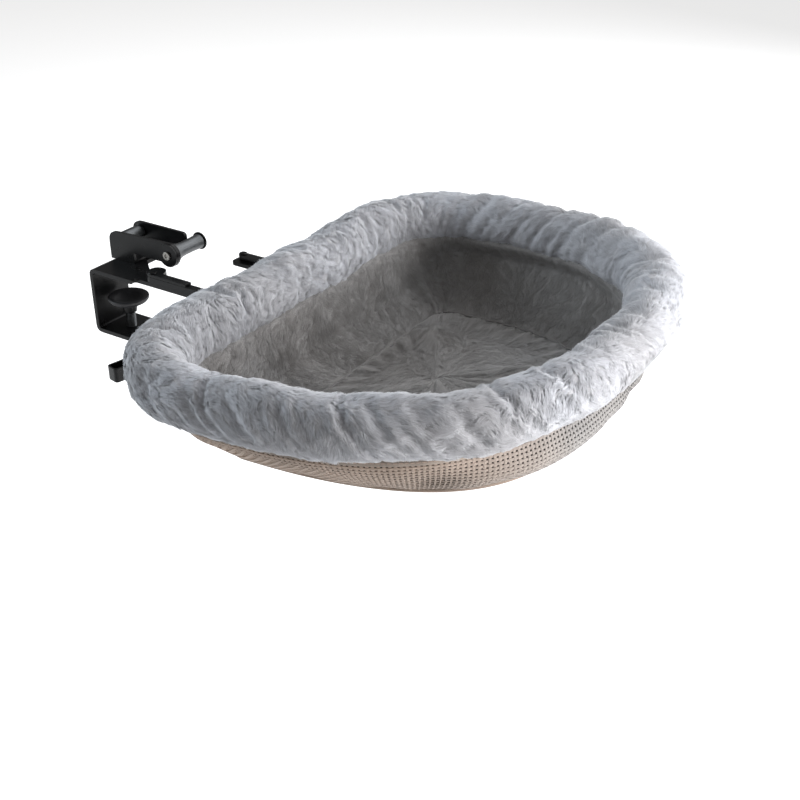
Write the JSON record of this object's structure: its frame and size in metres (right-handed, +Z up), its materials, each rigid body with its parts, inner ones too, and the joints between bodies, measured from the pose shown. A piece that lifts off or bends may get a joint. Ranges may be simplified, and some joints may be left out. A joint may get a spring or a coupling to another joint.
{
  "type": "clamp-on pet bed",
  "caption": "Round-fronted padded pet bed with a plush rim and net basket, folding on bars from a screw clamp that grips a board's edge.",
  "frame": {"origin": "underside of the grip liner, where the board's top touches it, on the clamp screw's line in Y and on the bed's middle plane in X", "axes": "+X runs along the board's edge, -Y points from the clamp out to the bed's round front, +Z is up"},
  "size_m": [0.4912, 0.5522, 0.1831],
  "materials": {
    "black_steel": "black powder coat, satin",
    "satin_steel": "dark satin plating",
    "bright_steel": "bright zinc plating",
    "hoop_metal": "plain, hidden in the padding",
    "black_rubber": "matt",
    "plush": "long pile plush, pale blue-grey",
    "plush_inside": "short pile plush, grey",
    "net": "knitted net, warm grey",
    "tape": "woven tape, grey"
  },
  "bodies": {
    "clamp": {"clamp_bracket": "black_steel", "grip_liner": "black_rubber", "clamp_nut": "satin_steel", "yoke_bracket": "black_steel", "yoke_rear_tube": "satin_steel", "spool_bolt": "bright_steel", "spool_nut": "bright_steel", "yoke_rivet_1": "black_steel", "yoke_rivet_2": "black_steel", "bar_near_upper": "black_steel", "bar_near_top_strip": "black_steel", "bar_far_upper": "black_steel", "bar_far_lower": "black_steel", "friction_screw_near": "satin_steel", "friction_screw_far": "satin_steel", "crossbar": "black_steel", "bar_rivet_1": "black_steel", "bar_rivet_2": "black_steel", "bar_rivet_3": "black_steel", "bar_rivet_4": "black_steel"},
    "pad": {"clamp_pad": "black_rubber", "clamp_pad_socket": "black_steel"},
    "screw": {"clamp_spindle": "bright_steel", "clamp_handle": "black_steel", "clamp_handle_nut": "satin_steel"},
    "spool": {"yoke_spool": "satin_steel", "spool_disc_near": "black_steel", "spool_disc_far": "black_steel"},
    "bed": {"hoop_frame": "hoop_metal", "hoop_stop_ring_near": "satin_steel", "hoop_stop_ring_far": "satin_steel", "plush_rim": "plush", "net_basket": "net", "plush_lining": "plush_inside", "net_hem": "tape", "seat_pad": "plush"}
  },
  "joints": [
    {"name": "clamp_travel", "type": "slide", "parent": "clamp", "child": "pad", "axis": [0, 0, 1], "range_m": [-0.01351, 0.01651]},
    {"name": "clamp_spin", "type": "hinge", "parent": "pad", "child": "screw", "pos_m": [-0.0315, 0, -0.06], "axis": [0, 0, 1], "range_deg": [-3240, 3960]},
    {"name": "spool_turn", "type": "hinge", "parent": "clamp", "child": "spool", "pos_m": [0, -0.0516, 0.026], "axis": [1, 0, 0], "continuous": true},
    {"name": "bed_fold", "type": "hinge", "parent": "clamp", "child": "bed", "pos_m": [0, -0.17587, 0.02037], "axis": [1, 0, 0], "range_deg": [0, 90]}
  ],
  "couplings": [
    {"joint": "clamp_travel", "follows": "clamp_spin", "m_per_rad": 0.00023873}
  ]
}
